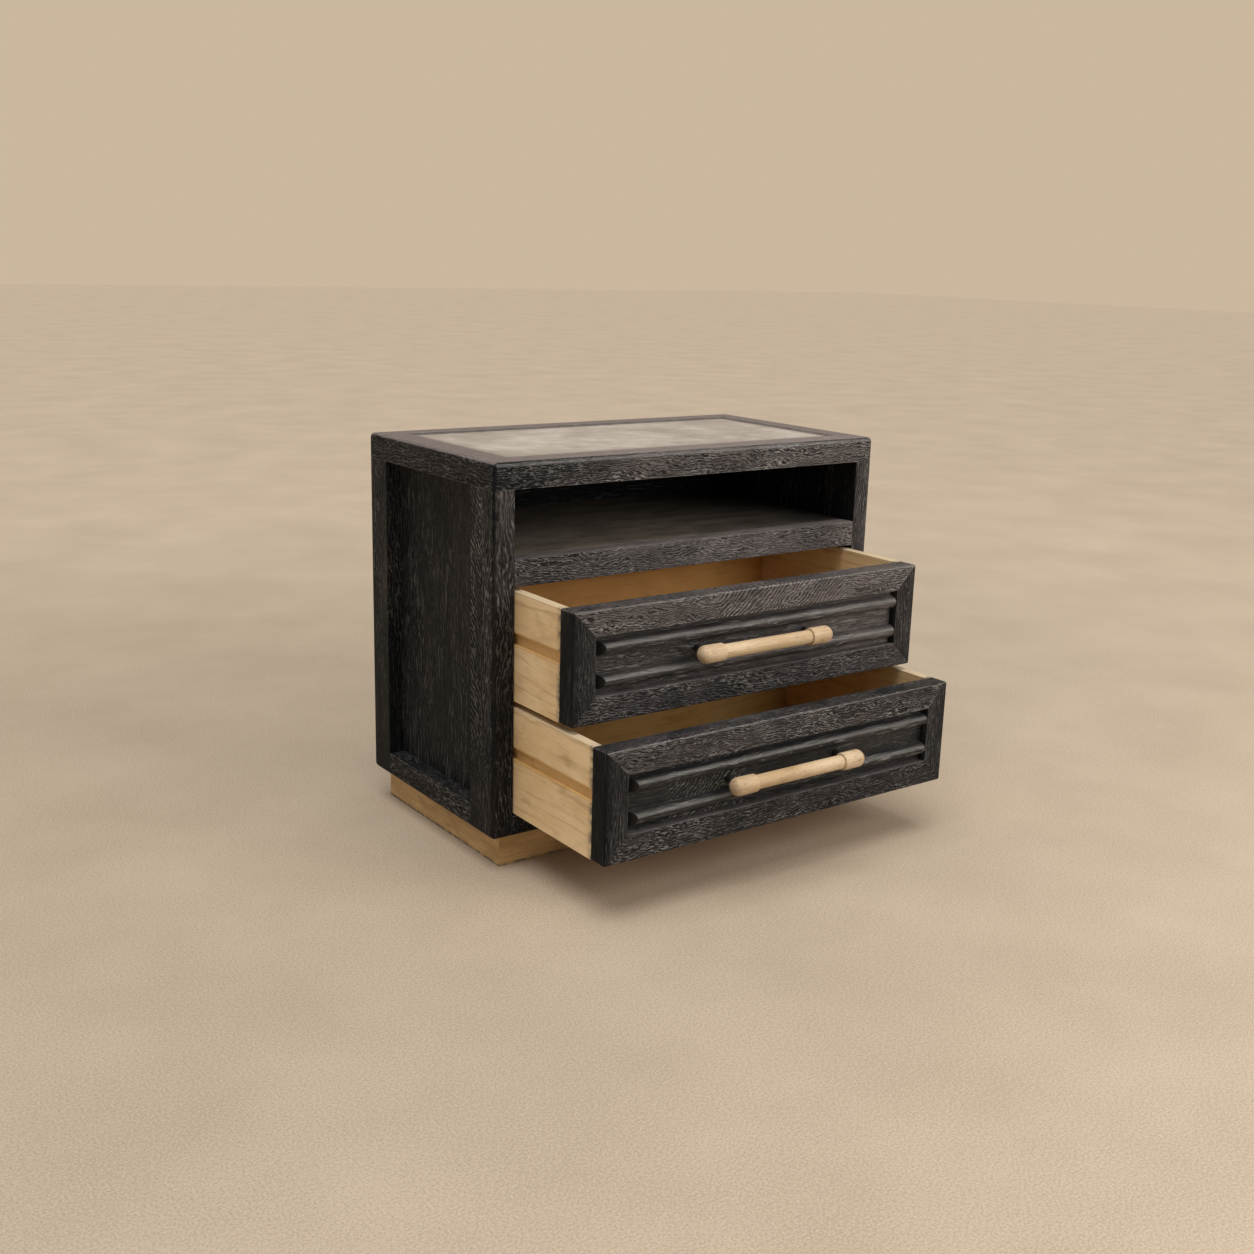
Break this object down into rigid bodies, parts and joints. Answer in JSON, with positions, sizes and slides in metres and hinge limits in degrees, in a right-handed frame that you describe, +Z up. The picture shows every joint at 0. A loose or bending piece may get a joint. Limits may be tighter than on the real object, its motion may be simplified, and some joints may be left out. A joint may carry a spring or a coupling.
{
  "type": "nightstand",
  "caption": "Low wide nightstand in dark brushed oak: open cubby over pull-out drawers with beaded fronts and turned pulls, inset stone-like top, pale recessed plinth.",
  "frame": {"origin": "on the floor under the centre of the case", "axes": "+X along the width, to the right as seen from the front; -Y out of the front, the way the drawers open; +Z up"},
  "size_m": [0.762, 0.6845, 0.636],
  "materials": {
    "dark_oak": "near-black stained oak, wire-brushed, with grey filler in the open grain",
    "top_panel_greige": "mottled grey-beige stone-like slab, honed, with a faint sheen",
    "pale_pine": "clear-finished pale softwood with a few small knots",
    "turned_oak": "turned natural wood, matt",
    "black_steel": "black"
  },
  "bodies": {
    "case": {"top_front_rail": "dark_oak", "top_back_rail": "dark_oak", "top_left_rail": "dark_oak", "top_right_rail": "dark_oak", "top_panel": "top_panel_greige", "left_front_post": "dark_oak", "left_back_post": "dark_oak", "left_bottom_rail": "dark_oak", "left_side_panel": "dark_oak", "right_front_post": "dark_oak", "right_back_post": "dark_oak", "right_bottom_rail": "dark_oak", "right_side_panel": "dark_oak", "shelf_rail": "dark_oak", "shelf_board": "dark_oak", "left_shelf_cleat": "pale_pine", "right_shelf_cleat": "pale_pine", "bottom_rail": "dark_oak", "back_bottom_rail": "dark_oak", "bottom_board": "dark_oak", "back_panel": "dark_oak", "upper_left_runner": "pale_pine", "upper_right_runner": "pale_pine", "lower_left_runner": "pale_pine", "lower_right_runner": "pale_pine", "plinth_front_board": "pale_pine", "plinth_back_board": "pale_pine", "plinth_left_board": "pale_pine", "plinth_right_board": "pale_pine", "plinth_cross_rail": "pale_pine"},
    "upper_drawer": {"upper_front_top_rail": "dark_oak", "upper_front_bottom_rail": "dark_oak", "upper_front_left_stile": "dark_oak", "upper_front_right_stile": "dark_oak", "upper_front_panel": "dark_oak", "upper_top_bead": "dark_oak", "upper_bottom_bead": "dark_oak", "upper_left_side": "pale_pine", "upper_right_side": "pale_pine", "upper_drawer_back": "pale_pine", "upper_drawer_bottom": "pale_pine", "upper_pull": "turned_oak", "upper_pull_left_post": "black_steel", "upper_pull_right_post": "black_steel"},
    "lower_drawer": {"lower_front_top_rail": "dark_oak", "lower_front_bottom_rail": "dark_oak", "lower_front_left_stile": "dark_oak", "lower_front_right_stile": "dark_oak", "lower_front_panel": "dark_oak", "lower_top_bead": "dark_oak", "lower_bottom_bead": "dark_oak", "lower_left_side": "pale_pine", "lower_right_side": "pale_pine", "lower_drawer_back": "pale_pine", "lower_drawer_bottom": "pale_pine", "lower_pull": "turned_oak", "lower_pull_left_post": "black_steel", "lower_pull_right_post": "black_steel"}
  },
  "joints": [
    {"name": "upper_drawer_slide", "type": "slide", "parent": "case", "child": "upper_drawer", "axis": [0, -1, 0], "range_m": [-0.156, 0.13]},
    {"name": "lower_drawer_slide", "type": "slide", "parent": "case", "child": "lower_drawer", "axis": [0, -1, 0], "range_m": [-0.244, 0.042]}
  ]
}
